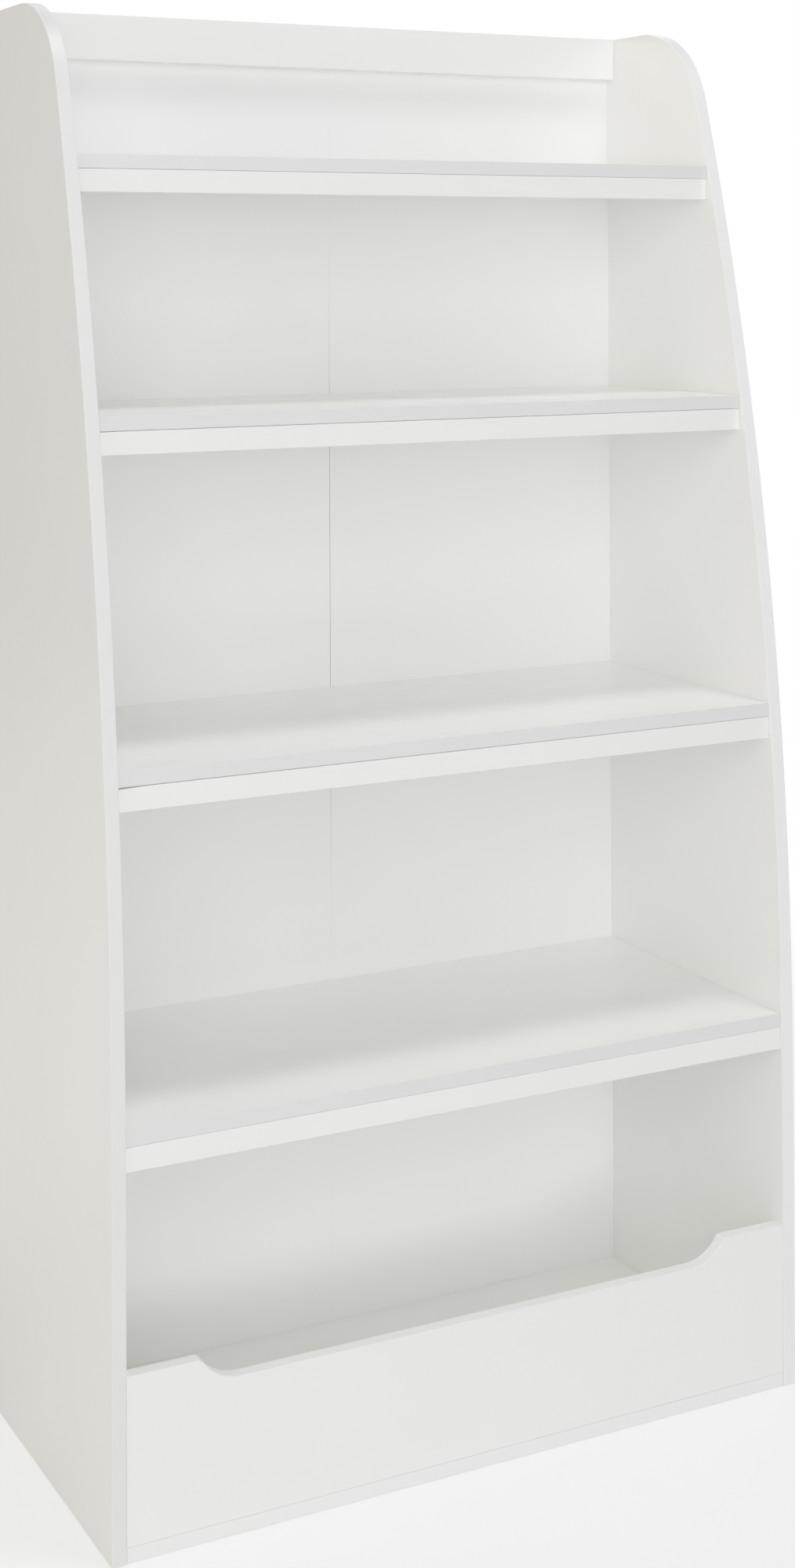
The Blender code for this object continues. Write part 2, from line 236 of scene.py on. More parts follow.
def banding(name, light_copy):
    """Extruded PVC band with a fine grain, in lit and shaded copies of one band: painted shade in
    the greyer copies, painted light in the brightest.
    """
    mat, tree, shader = new_material(name)
    coords = place_coords(tree)
    drift = spread(tree, noise(tree, coords, scale=9.0))
    grain = noise(tree, coords, scale=620.0)
    connect(tree, shader, Base_Color=blend_colours(tree, drift, *TONES[light_copy]),
            Roughness=spread(tree, grain, low=0.40, high=0.48),
            Normal=bump(tree, grain, distance=0.000015))
    return mat


CHIPS_PER_METRE = 420.0
CHIP_LAYERS_PER_METRE = 1500.0
CHIP_COLOURS = ((0.0, (0.30, 0.19, 0.10, 1)), (0.35, (0.50, 0.35, 0.20, 1)),
                (0.7, (0.62, 0.46, 0.29, 1)), (1.0, (0.74, 0.59, 0.41, 1)))


def chip_core(name, thickness_axis):
    """Raw particleboard: flat wood chips pressed in layers, seen on cut edges and in bores."""
    mat, tree, shader = new_material(name)
    scale = [CHIPS_PER_METRE] * 3
    scale[thickness_axis] = CHIP_LAYERS_PER_METRE
    coords = place_coords(tree, tuple(scale))
    chips = node(tree, "ShaderNodeTexVoronoi", {"feature": "F1"}, Vector=coords, Scale=1.0)
    ramp = node(tree, "ShaderNodeValToRGB", Fac=chips.outputs["Color"])
    for position, colour in CHIP_COLOURS[1:-1]:
        ramp.color_ramp.elements.new(position).color = colour
    ramp.color_ramp.elements[0].color = CHIP_COLOURS[0][1]
    ramp.color_ramp.elements[-1].color = CHIP_COLOURS[-1][1]
    connect(tree, shader, Base_Color=ramp.outputs["Color"], Roughness=0.85,
            Normal=bump(tree, chips.outputs["Distance"], distance=0.0002, strength=0.6))
    return mat


def lacquered_hardboard(name):
    """Front of the back panel: thin white lacquer that lets the board's fibre show faintly."""
    mat, tree, shader = new_material(name)
    coords = place_coords(tree)
    drift = spread(tree, noise(tree, coords, scale=4.0, detail=3.0))
    fibre = noise(tree, coords, scale=520.0, detail=3.0, roughness=0.7)
    swell = noise(tree, coords, scale=16.0)
    tone = blend_colours(tree, drift, *TONES["lacquer"])
    under = bump(tree, swell, distance=0.0004, strength=0.35)
    connect(tree, shader, Base_Color=tone, Roughness=spread(tree, fibre, low=0.42, high=0.50),
            Normal=bump(tree, fibre, distance=0.00003, below=under))
    return mat


SCREEN_WIRES_SCALE = 250.0


def raw_hardboard(name):
    """Rear of the back panel: brown fibre with the press screen's fine mesh in it."""
    mat, tree, shader = new_material(name)
    coords = place_coords(tree)
    clouds = spread(tree, noise(tree, coords, scale=7.0, detail=4.0, roughness=0.6))
    lying = place_coords(tree, scale=(260.0, 260.0, 900.0))
    fibre = noise(tree, lying, scale=1.0, detail=4.0, roughness=0.75)
    brown = blend_colours(tree, clouds, *TONES["hardboard"])
    flecks = spread(tree, fibre, low=0.0, high=0.45)
    flecked = blend_colours(tree, flecks, brown, HARDBOARD_FLECK)
    across, upright = [node(tree, "ShaderNodeTexWave", {"bands_direction": way}, Vector=coords,
                            Scale=SCREEN_WIRES_SCALE) for way in ("X", "Z")]
    screen = product(tree, across.outputs["Fac"], upright.outputs["Fac"])
    pressed = bump(tree, screen, distance=0.00025, strength=0.6)
    connect(tree, shader, Base_Color=flecked, Roughness=spread(tree, fibre, low=0.62, high=0.80),
            Normal=bump(tree, fibre, distance=0.00015, strength=0.5, below=pressed))
    return mat


def kraft_tape(name):
    """Brown paper tape with long fibres and a slight cockle."""
    mat, tree, shader = new_material(name)
    upright = place_coords(tree, scale=(900.0, 900.0, 160.0))
    fibre = noise(tree, upright, scale=1.0, detail=4.0, roughness=0.7)
    cockle = noise(tree, place_coords(tree), scale=70.0)
    tone = blend_colours(tree, spread(tree, fibre), *TONES["tape"])
    under = bump(tree, cockle, distance=0.0005, strength=0.4)
    connect(tree, shader, Base_Color=tone, Roughness=0.62,
            Normal=bump(tree, fibre, distance=0.00005, below=under))
    return mat


def metal(name, kind, roughness, grain_scale):
    """Zinc or plated steel: uneven sheen and a fine grain."""
    mat, tree, shader = new_material(name)
    grain = noise(tree, place_coords(tree, grain_scale), scale=1.0, detail=3.0, roughness=0.6)
    cloud = noise(tree, place_coords(tree), scale=160.0, detail=3.0)
    connect(tree, shader, Metallic=1.0, Roughness=spread(tree, cloud, *roughness),
            Base_Color=blend_colours(tree, spread(tree, cloud), *TONES[kind]),
            Normal=bump(tree, grain, distance=0.00003))
    return mat


def beech(name):
    """Raw beech turned along X: pale wood with fine brown flecks in the grain's direction."""
    mat, tree, shader = new_material(name)
    lengthwise = place_coords(tree, scale=(60.0, 900.0, 900.0))
    grain = noise(tree, lengthwise, scale=1.0, detail=4.0, roughness=0.65)
    tone = blend_colours(tree, spread(tree, grain), *TONES["beech"])
    connect(tree, shader, Base_Color=tone, Roughness=0.62,
            Normal=bump(tree, grain, distance=0.00008))
    return mat


FLOOR_FADE = (0.7, 2.4)  # metres from the middle, over which the floor turns white
FLOOR_LIFT = 0.5         # share of white already mixed in beside the bookcase


def pale_floor(name):
    """Pale floor that turns into the white surroundings with distance, for the camera only."""
    mat, tree, shader = new_material(name)
    coords = place_coords(tree)
    drift = spread(tree, noise(tree, coords, scale=1.5, detail=3.0))
    connect(tree, shader, Roughness=0.75,
            Base_Color=blend_colours(tree, drift, *TONES["floor"]))
    away = node(tree, "ShaderNodeVectorMath", {"operation": "LENGTH"})
    tree.links.new(coords, away.inputs[0])
    fade = node(tree, "ShaderNodeMapRange", {"interpolation_type": "SMOOTHSTEP"},
                Value=away.outputs["Value"], From_Min=FLOOR_FADE[0], From_Max=FLOOR_FADE[1],
                To_Min=FLOOR_LIFT, To_Max=1.0)
    seen = node(tree, "ShaderNodeLightPath").outputs["Is Camera Ray"]
    white = node(tree, "ShaderNodeEmission", Color=(1, 1, 1, 1))
    mix = node(tree, "ShaderNodeMixShader")
    feed(tree, mix.inputs[0], product(tree, fade.outputs["Result"], seen))
    feed(tree, mix.inputs[1], shader.outputs[0])
    feed(tree, mix.inputs[2], white.outputs[0])
    tree.links.new(mix.outputs[0], tree.nodes["Material Output"].inputs["Surface"])
    return mat


def make_finishes():
    return {
        "board": faced_board("white_melamine"),
        # Band finishes: lit and shaded copies of one PVC band, painted shade in the darker ones and
        # painted light in the brightest.
        "shaded_shelf_band": banding("pvc_band_shaded_shelf", "shaded_shelf_band"),
        "shaded_side_band": banding("pvc_band_shaded_side", "shaded_side_band"),
        "lit_band": banding("pvc_band_lit", "lit_band"),
        "core_x": chip_core("particleboard_core_x", 0),
        "core_y": chip_core("particleboard_core_y", 1),
        "core_z": chip_core("particleboard_core_z", 2),
        "back_front": lacquered_hardboard("white_lacquered_hardboard"),
        "back_rear": raw_hardboard("brown_hardboard"),
        "tape": kraft_tape("kraft_paper_tape"),
        "zinc": metal("die_cast_zinc", "zinc", roughness=(0.38, 0.52),
                      grain_scale=(900.0, 900.0, 900.0)),
        "steel": metal("zinc_plated_steel", "steel", roughness=(0.20, 0.32),
                       grain_scale=(2400.0, 200.0, 200.0)),
        "beech": beech("beech"),
        "floor": pale_floor("pale_floor"),
    }


# ---------------------------------------------------------------- mesh helpers
def link(name, mesh, mats):
    for mat in mats:
        mesh.materials.append(mat)
    obj = bpy.data.objects.new(name, mesh)
    bpy.context.scene.collection.objects.link(obj)
    return obj


def mesh_of(bm, name):
    bmesh.ops.recalc_face_normals(bm, faces=bm.faces)
    mesh = bpy.data.meshes.new(name)
    bm.to_mesh(mesh)
    bm.free()
    return mesh


def shade(obj):
    """Smooth rounded edges, crisp corners, and flat faces that stay flat."""
    obj.data.shade_smooth()
    obj.data.set_sharp_from_angle(angle=SMOOTH_BELOW)
    weighted = obj.modifiers.new("flat_faces_lead", "WEIGHTED_NORMAL")
    weighted.keep_sharp = True
    weighted.weight = FLAT_FACE_WEIGHT


def stand_for(obj, *nodes):
    """This piece takes the place of CAD nodes and rides on the body with them."""
    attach(obj, BODY)
    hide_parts(*nodes)


def block_bm(low, high):
    bm = bmesh.new()
    bmesh.ops.create_cube(bm, size=1.0)
    size = high - low
    bmesh.ops.scale(bm, vec=size, verts=bm.verts)
    bmesh.ops.translate(bm, vec=(low + high) / 2, verts=bm.verts)
    return bm


def prism_bm(outline, push):
    """A flat outline of 3-D points pushed along a vector."""
    bm = bmesh.new()
    face = bm.faces.new([bm.verts.new(point) for point in outline])
    pushed = bmesh.ops.extrude_face_region(bm, geom=[face])
    moved = [item for item in pushed["geom"] if isinstance(item, bmesh.types.BMVert)]
    bmesh.ops.translate(bm, vec=push, verts=moved)
    bmesh.ops.recalc_face_normals(bm, faces=bm.faces)
    return bm


def round_edges(bm, edges, radius, segments=3):
    bmesh.ops.bevel(bm, geom=edges, offset=radius, offset_type="OFFSET", segments=segments,
                    profile=0.5, affect="EDGES", clamp_overlap=True)


def edges_along(bm, axis):
    """Edges that run along one axis: 0, 1 or 2."""
    chosen = []
    for edge in bm.edges:
        run = edge.verts[1].co - edge.verts[0].co
        if abs(run[axis]) > ALONG * run.length:
            chosen.append(edge)
    return chosen


def strip_bm(outer, inner, across, rounding):
    """A band between an outer and an inner curve, pushed across, its two outer arrises rounded."""
    bm = bmesh.new()
    rings = []
    for out_point, in_point in zip(outer, inner):
        corners = (out_point, out_point + across, in_point + across, in_point)
        rings.append([bm.verts.new(corner) for corner in corners])
    for ring, after in zip(rings, rings[1:]):
        for k in range(4):
            turn = (k + 1) % 4
            bm.faces.new((ring[k], ring[turn], after[turn], after[k]))
    bm.faces.new(rings[0])
    bm.faces.new(rings[-1][::-1])
    bm.normal_update()
    arrises = [bm.edges.get((ring[k], after[k])) for ring, after in zip(rings, rings[1:])
               for k in (0, 1)]
    round_edges(bm, arrises, rounding)
    return bm


def show_raw_edges(bm, directions):
    """Faces that look in these directions become bare core inside a thin rim of laminate."""
    bm.normal_update()
    for direction in directions:
        raw = [face for face in bm.faces if face.normal.dot(Vector(direction)) > SAME_WAY]
        bmesh.ops.inset_region(bm, faces=raw, thickness=SKIN, use_even_offset=True)
        for face in raw:
            face.material_index = 1


def cylinder_bm(bm, start, end, radius, steps=BORE_STEPS):
    run = Vector(end) - Vector(start)
    turn = UP.rotation_difference(run.normalized()).to_matrix().to_4x4()
    place = Matrix.Translation(Vector(start) + run / 2) @ turn
    bmesh.ops.create_cone(bm, cap_ends=True, segments=steps, radius1=radius, radius2=radius,
                          depth=run.length, matrix=place)


def cut_away(obj, cutter_meshes):
    """Subtract cutters one after the other and keep the result as the object's own mesh."""
    cutters = []
    for number, mesh in enumerate(cutter_meshes):
        cutter = bpy.data.objects.new(f"cutter_{number}", mesh)
        bpy.context.scene.collection.objects.link(cutter)
        cut = obj.modifiers.new(cutter.name, "BOOLEAN")
        cut.operation = "DIFFERENCE"
        cut.solver = "EXACT"
        cut.object = cutter
        cutters.append(cutter)
    bpy.context.view_layer.update()
    shaped = obj.evaluated_get(bpy.context.evaluated_depsgraph_get())
    mesh = bpy.data.meshes.new_from_object(shaped)
    obj.modifiers.clear()
    obj.data = mesh
    for cutter in cutters:
        bpy.data.objects.remove(cutter, do_unlink=True)


# ---------------------------------------------------------------- hardware in the frame
def hardware(kind):
    """(node, board it sits in, side name) of every piece of one kind."""
    for name in sorted(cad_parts):
        if name.startswith(kind):
            board, side = name[len(kind):].rsplit("_", 1)
            yield name, board, side


def cam_face(board):
    """Cams look down from level boards, and backwards from upright ones."""
    return Vector((0, 1, 0)) if board in ("top_rail", "bin_front") else -UP


def cam_mouth(name, board):
    """Centre of the cam's visible face."""
    low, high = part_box(name)
    face = cam_face(board)
    reach = abs((high - low).dot(face)) / 2
    return (low + high) / 2 + face * reach, reach * 2


def bores_by_board():
    """For each board: its bores as (start, end, radius) runs, cam bores apart from bolt and dowel
    bores.
    """
    runs = {}
    for name, board, _ in hardware("cam_lock_"):
        mouth, height = cam_mouth(name, board)
        low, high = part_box(name)
        radius = (high.x - low.x) / 2 + BORE_PLAY
        face = cam_face(board)
        run = (mouth + face * CUT_CLEAR, mouth - face * (height + BORE_PLAY), radius)
        runs.setdefault(board, {}).setdefault("cam", []).append(run)
    for kind in ("cam_bolt_", "dowel_"):
        for name, board, side in hardware(kind):
            low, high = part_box(name)
            middle = (low + high) / 2
            play = Vector((BORE_PLAY, 0, 0))
            start = Vector((low.x, middle.y, middle.z)) - play
            end = Vector((high.x, middle.y, middle.z)) + play
            run = (start, end, (high.z - low.z) / 2 + BORE_PLAY)
            for holder in (board, f"{side}_side_panel"):
                runs.setdefault(holder, {}).setdefault("pin", []).append(run)
    return runs


def cutter_meshes(runs, mats):
    """One closed mesh of cylinders for each group of bores, so that no mesh cuts itself."""
    meshes = []
    for group in sorted(runs):
        bm = bmesh.new()
        for start, end, radius in runs[group]:
            cylinder_bm(bm, start, end, radius)
        for face in bm.faces:
            face.material_index = 1
        mesh = mesh_of(bm, f"bores_{group}")
        for mat in mats:
            mesh.materials.append(mat)
        meshes.append(mesh)
    return meshes


# ---------------------------------------------------------------- outlines
def side_curve(inset):
    """The side's front and top edge as (y, z) points, moved inwards by an inset."""
    sweep_y, sweep_z = SWEEP_RADIUS, FRONT_STRAIGHT
    nose_z = HEIGHT - NOSE_RADIUS
    reach = SWEEP_RADIUS - NOSE_RADIUS
    nose_y = sweep_y - math.sqrt(reach ** 2 - (nose_z - sweep_z) ** 2)
    lean = math.asin((nose_z - sweep_z) / reach)
    points = [(inset, 0.0)]
    for step in range(SWEEP_STEPS):
        angle = lean * step / SWEEP_STEPS
        radius = SWEEP_RADIUS - inset
        points.append((sweep_y - radius * math.cos(angle), sweep_z + radius * math.sin(angle)))
    for step in range(NOSE_STEPS + 1):
        angle = lean + (math.pi / 2 - lean) * step / NOSE_STEPS
        radius = NOSE_RADIUS - inset
        points.append((nose_y - radius * math.cos(angle), nose_z + radius * math.sin(angle)))
    points.append((REAR - FRONT, HEIGHT - inset))
    return [(FRONT + y, z) for y, z in points]


def scoop_half(inset):
    """Right half of the bin front's top edge as (x, z) points, from the middle outwards."""
    centre_z = BIN_TOP_ENDS - SCOOP_DROP + SCOOP_RADIUS
    corner_z = BIN_TOP_ENDS - SCOOP_CORNER_RADIUS
    reach = SCOOP_RADIUS + SCOOP_CORNER_RADIUS
    fall = centre_z - corner_z
    corner_x = SCOOP_HALF_LENGTH + math.sqrt(reach ** 2 - fall ** 2)
    turn = math.acos(fall / reach)
    points = []
    for step in range(SCOOP_STEPS):
        angle = turn * step / SCOOP_STEPS
        radius = SCOOP_RADIUS + inset
        points.append((SCOOP_HALF_LENGTH + radius * math.sin(angle),
                       centre_z - radius * math.cos(angle)))
    for step in range(CORNER_STEPS + 1):
        angle = turn * (1 - step / CORNER_STEPS)
        radius = SCOOP_CORNER_RADIUS - inset
        points.append((corner_x - radius * math.sin(angle), corner_z + radius * math.cos(angle)))
    points.append((BOARD_END, BIN_TOP_ENDS - inset))
    return points


def scoop_curve(inset):
    right = scoop_half(inset)
    return [(-x, z) for x, z in reversed(right)] + right


# ---------------------------------------------------------------- boards
class Joiner:
    """Builds boards and bands, and cuts into each board the bores its hardware needs."""

    def __init__(self, finishes):
        self.finishes = finishes
        self.bores = bores_by_board()

    def board(self, node_name, bm, core, raw=()):
        show_raw_edges(bm, raw)
        mats = [self.finishes["board"], self.finishes[core]]
        obj = link(f"{node_name}_fine", mesh_of(bm, node_name), mats)
        if node_name in self.bores:
            cut_away(obj, cutter_meshes(self.bores[node_name], mats))
        shade(obj)
        stand_for(obj, node_name)
        return obj

    def band(self, node_name, outer, inner, across, light_copy):
        bm = strip_bm(outer, inner, across, BAND_ROUNDING)
        obj = link(f"{node_name}_fine", mesh_of(bm, node_name), [self.finishes[light_copy]])
        shade(obj)
        stand_for(obj, node_name)
        return obj


def side_boards(joiner):
    """Both sides with their curved front and top edge, and the bands along it."""
    for side, sign in SIDES.items():
        inner_x = sign * INNER
        push = Vector((sign * BOARD, 0, 0))
        core_curve = side_curve(BAND + GLUE_LINE)
        outline = [(inner_x, y, z) for y, z in core_curve + [(REAR, 0.0)]]
        joiner.board(f"{side}_side_panel", prism_bm(outline, push), "core_x",
                     raw=((0, 1, 0), (0, 0, -1)))
        outer = [Vector((inner_x, y, z)) for y, z in side_curve(0.0)]
        inner = [Vector((inner_x, y, z)) for y, z in side_curve(BAND)]
        joiner.band(f"{side}_side_edge_band", outer, inner, push, SIDE_BAND_LIGHT[side])


def level_board(joiner, name, light_copy):
    """A level board that reaches up to its front band; the band stops short of the board's ends."""
    low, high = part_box(name)
    band_low, band_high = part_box(f"{name}_edge_band")
    low.y = band_high.y + GLUE_LINE
    joiner.board(name, block_bm(low, high), "core_z",
                 raw=((1, 0, 0), (-1, 0, 0), (0, 1, 0)))
    ends = (band_low.x + BAND_SHORT, band_high.x - BAND_SHORT)
    outer = [Vector((x, band_low.y, band_low.z)) for x in ends]
    inner = [Vector((x, band_high.y, band_low.z)) for x in ends]
    joiner.band(f"{name}_edge_band", outer, inner, UP * (band_high.z - band_low.z), light_copy)


def foil_wrapped(joiner, name, gaps=None):
    """A strip wrapped in white foil, its long edges softly rounded and its ends bare.

    An apron's top edge leaves a gap under its shelf, given at its left end, after its left
    corner and at its right end.
    """
    low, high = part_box(name)
    bm = block_bm(low, high)
    if gaps:
        corner = low.x + APRON_CORNER
        bmesh.ops.bisect_plane(bm, geom=bm.verts[:] + bm.edges[:] + bm.faces[:],
                               plane_co=(corner, 0, 0), plane_no=(1, 0, 0))
        stations = (low.x, corner, high.x)
        shelf_low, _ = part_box(name.replace("apron", "shelf"))
        for vert in bm.verts:
            if vert.co.z > low.z + (high.z - low.z) / 2:
                nearest = min(range(3), key=lambda i: abs(vert.co.x - stations[i]))
                vert.co.z = shelf_low.z - gaps[nearest]
    round_edges(bm, edges_along(bm, 0), FOIL_ROUNDING)
    joiner.board(name, bm, "core_y", raw=((1, 0, 0), (-1, 0, 0)))


def bin_front(joiner):
    """The low front of the bin, with the band along its scooped top edge."""
    low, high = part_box("bin_front")
    push = Vector((0, high.y - low.y, 0))
    curve = scoop_curve(BAND + GLUE_LINE)
    outline = [(x, low.y, z) for x, z in curve + [(BOARD_END, low.z), (-BOARD_END, low.z)]]
    joiner.board("bin_front", prism_bm(outline, push), "core_y",
                 raw=((1, 0, 0), (-1, 0, 0), (0, 0, -1)))
    outer = [Vector((x, low.y, z)) for x, z in scoop_curve(0.0)]
    inner = [Vector((x, low.y, z)) for x, z in scoop_curve(BAND)]
    # The bin front's band takes the lit copy, with painted light.
    joiner.band("bin_front_edge_band", outer, inner, push, "lit_band")


def leaf_bm(low, high, sign):
    """One leaf of the back, whose edge at the seam bows away from the middle plane."""
    outer = high.x if sign > 0 else low.x
    outline = [Vector((outer, low.y, low.z)), Vector((outer, low.y, high.z))]
    for step in range(SEAM_STEPS + 1):
        z = high.z + (low.z - high.z) * step / SEAM_STEPS
        spring = math.exp(-((z - SEAM_OPEN_HEIGHT) / SEAM_OPEN_REACH) ** SEAM_ENDS)
        half = SEAM_CLOSED + (SEAM_OPEN - SEAM_CLOSED) * spring
        outline.append(Vector((sign * half, low.y, z)))
    return prism_bm(outline, Vector((0, high.y - low.y, 0)))


def back(finishes):
    """Two leaves, white in front and brown behind, with a paper tape over their seam."""
    for side in SIDES:
        name = f"back_leaf_{side}"
        bm = leaf_bm(*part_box(name), SIDES[side])
        round_edges(bm, bm.edges[:], SHEET_ROUNDING, 2)
        bm.normal_update()
        for face in bm.faces:
            face.material_index = 0 if face.normal.y < -0.5 else 1
        obj = link(f"{name}_fine", mesh_of(bm, name),
                   [finishes["back_front"], finishes["back_rear"]])
        shade(obj)
        stand_for(obj, name)
    seam_tape(finishes)


def seam_tape(finishes):
    """The tape's free edges are pressed thinner than its middle."""
    low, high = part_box("back_seam_tape")
    bm = block_bm(low, high)
    free = [edge for edge in edges_along(bm, 2) if edge.verts[0].co.y > low.y + TOUCHING]
    round_edges(bm, free, TAPE_ROUNDING, 2)
    obj = link("back_seam_tape_fine", mesh_of(bm, "back_seam_tape"), [finishes["tape"]])
    shade(obj)
    stand_for(obj, "back_seam_tape")


# ---------------------------------------------------------------- hardware
def plus_outline(length, width):
    """Outline of the cross slot in a cam's face."""
    far, near = length / 2, width / 2
    quarter = [Vector((far, near, 0)), Vector((near, near, 0)), Vector((near, far, 0))]
    return [Matrix.Rotation(math.radians(90 * turn), 3, "Z") @ point
            for turn in range(4) for point in quarter]


CAM_STEPS = 64
CAM_RIM_ROUNDING = 0.0004
CAM_FACE_THICKNESS = 0.0036
CAM_NOTCH_HALF_WIDTH = 0.0037
CAM_NOTCH_START = -0.0020    # a little past the middle, away from the bolt
CAM_CROSS = (0.0090, 0.0016)
CAM_CROSS_DEPTH = 0.0015
CAM_ARROW_DEPTH = 0.0004
CAM_ARROW = ((0.92, 0.0), (0.72, 0.13), (0.72, -0.13))    # in radii


def cam_master(radius, height):
    """Cam lock: face at z = 0, body above it, bolt notch open towards +X."""
    bm = bmesh.new()
    cylinder_bm(bm, (0, 0, 0), UP * height, radius, CAM_STEPS)
    rims = [edge for edge in bm.edges
            if abs(edge.verts[0].co.z - edge.verts[1].co.z) < TOUCHING]
    round_edges(bm, rims, CAM_RIM_ROUNDING)
    body = link("cam_master", mesh_of(bm, "cam_lock"), [])
    notch = block_bm(Vector((CAM_NOTCH_START, -CAM_NOTCH_HALF_WIDTH, CAM_FACE_THICKNESS)),
                     Vector((radius * 2, CAM_NOTCH_HALF_WIDTH, height * 2)))
    cross = prism_bm([point - UP * CUT_CLEAR for point in plus_outline(*CAM_CROSS)],
                     UP * (CUT_CLEAR + CAM_CROSS_DEPTH))
    mark = prism_bm([Vector((radius * x, radius * y, -CUT_CLEAR)) for x, y in CAM_ARROW],
                    UP * (CUT_CLEAR + CAM_ARROW_DEPTH))
    cut_away(body, [mesh_of(notch, "notch"), mesh_of(cross, "cross"), mesh_of(mark, "mark")])
    mesh = body.data
    bpy.data.objects.remove(body, do_unlink=True)
    return mesh


def lathe_bm(stations, radius_at, steps):
    """A closed body along +X: rings at the stations, each radius a function of place and turn."""
    bm = bmesh.new()
    rings = []
    for along in stations:
        ring = []
        for step in range(steps):
            turn = step / steps
            radius = radius_at(along, turn)
            angle = math.tau * turn
            ring.append(bm.verts.new((along, radius * math.cos(angle), radius * math.sin(angle))))
        rings.append(ring)
    for ring, after in zip(rings, rings[1:]):
        for k in range(steps):
            turn = (k + 1) % steps
            bm.faces.new((ring[k], ring[turn], after[turn], after[k]))
    bm.faces.new(rings[0][::-1])
    bm.faces.new(rings[-1])
    return bm


def between(points, along):
    """Radius on a profile of (distance, radius) points, by straight lines."""
    for (start, first), (end, second) in zip(points, points[1:]):
        if along <= end:
            share = (along - start) / (end - start)
            return first + (second - first) * max(0.0, share)
    return points[-1][1]


BOLT_PITCH = 0.0024
BOLT_ROOT_RADIUS = 0.0024
BOLT_CREST_RADIUS = 0.0031
BOLT_NECK_RADIUS = 0.0020
BOLT_HEAD_RADIUS = 0.0032
BOLT_TIP = (0.0014, 0.0012)          # radius at the tip, length to the full root
BOLT_CROWN_RADIUS = 0.0021
BOLT_COLLAR = (-0.0004, 0.0002, 0.0014, 0.0020)    # from the side board's face, along the bolt
BOLT_HEAD = (0.0034, 0.0026, 0.0007)               # back from the bolt's end
THREAD_START = 0.0006                # bare length at the tip
THREAD_CLEAR = -0.0008               # no ridge between here and the face
THREAD_STOP = -0.0006                # last ring of the threaded length
THREAD_HALF_WIDTH = 0.24             # of a turn
THREAD_FADES = (0.0025, 0.0010)      # over which the ridge grows at the tip and ends at the face
THREAD_STEPS = 56
BOLT_STEPS = 32


def bolt_master(tip, head_end, collar):
    """Cam bolt along +X with a helical wood thread from its tip to its collar."""
    blunt, point = BOLT_TIP
    thread_end, collar_start, collar_end, neck_start = BOLT_COLLAR
    neck_end, head_start, crown = [head_end - back for back in BOLT_HEAD]
    profile = [(tip, blunt), (tip + point, BOLT_ROOT_RADIUS), (thread_end, BOLT_ROOT_RADIUS),
               (collar_start, collar), (collar_end, collar), (neck_start, BOLT_NECK_RADIUS),
               (neck_end, BOLT_NECK_RADIUS), (head_start, BOLT_HEAD_RADIUS),
               (crown, BOLT_HEAD_RADIUS), (head_end, BOLT_CROWN_RADIUS)]

    def radius_at(along, turn):
        plain = between(profile, along)
        if not tip + THREAD_START < along < THREAD_CLEAR:
            return plain
        phase = (along / BOLT_PITCH - turn) % 1.0
        ridge = max(0.0, 1.0 - abs(phase - 0.5) / THREAD_HALF_WIDTH)
        fade = min(1.0, (along - tip) / THREAD_FADES[0], (THREAD_STOP - along) / THREAD_FADES[1])
        return plain + (BOLT_CREST_RADIUS - BOLT_ROOT_RADIUS) * ridge * max(0.0, fade)

    threaded = [tip + (THREAD_STOP - tip) * step / THREAD_STEPS
                for step in range(THREAD_STEPS + 1)]
    shank = [*BOLT_COLLAR, neck_end, head_start, crown, head_end]
    return mesh_of(lathe_bm(threaded + shank, radius_at, BOLT_STEPS), "cam_bolt")


DOWEL_CHAMFER = 0.0010
DOWEL_FLUTES = 20
DOWEL_FLUTE_DEPTH = 0.00022
DOWEL_FLUTE_STEPS = 6


def dowel_master(low, high, radius):
    """Beech dowel along +X, fluted, with chamfered ends."""

    def radius_at(along, turn):
        end = min(along - low, high - along)
        plain = radius - max(0.0, DOWEL_CHAMFER - end)
        valley = 0.5 - 0.5 * math.cos(math.tau * DOWEL_FLUTES * turn)
        return plain - DOWEL_FLUTE_DEPTH * valley * min(1.0, end / DOWEL_CHAMFER)

    near_end = [0.0, DOWEL_CHAMFER * 0.5, DOWEL_CHAMFER]
    stations = [low + along for along in near_end] + [high - along for along in near_end[::-1]]
    return mesh_of(lathe_bm(stations, radius_at, DOWEL_FLUTES * DOWEL_FLUTE_STEPS), "dowel")


NAIL_LENGTH = 0.020
NAIL_SHANK_RADIUS = 0.0007
NAIL_HEAD_RADIUS = 0.0024
NAIL_HEAD_HEIGHT = 0.0006
NAIL_POINT = 0.0020
NAIL_TIP = 0.15          # of the shank's radius
NAIL_DOME = ((0.85, 0.7), (1.0, 0.3))    # shares of the head's height and radius
NAIL_PITCH = 0.110
NAIL_END_SPACE = 0.040
NAIL_STEPS = 16
NAIL_STRAY = 0.0012      # how far off its line a nail may stand
NAIL_LEAN = 2            # degrees
NAIL_SEED = 5


def nail_master():
    """Wire nail along +X, its head's underside at x = 0 and its domed face beyond."""
    edge = NAIL_HEAD_HEIGHT * 0.5
    profile = [(-NAIL_LENGTH, NAIL_SHANK_RADIUS * NAIL_TIP),
               (-NAIL_LENGTH + NAIL_POINT, NAIL_SHANK_RADIUS), (-edge, NAIL_SHANK_RADIUS),
               (0.0, NAIL_HEAD_RADIUS), (edge, NAIL_HEAD_RADIUS)]
    profile += [(NAIL_HEAD_HEIGHT * high, NAIL_HEAD_RADIUS * wide) for high, wide in NAIL_DOME]
    stations = [along for along, _ in profile]
    bm = lathe_bm(stations, lambda along, turn: between(profile, along), NAIL_STEPS)
    return mesh_of(bm, "nail")


def evenly(start, end):
    """Places from start to end at about the nails' pitch."""
    gaps = max(1, round((end - start) / NAIL_PITCH))
    return [start + (end - start) * step / gaps for step in range(gaps + 1)]


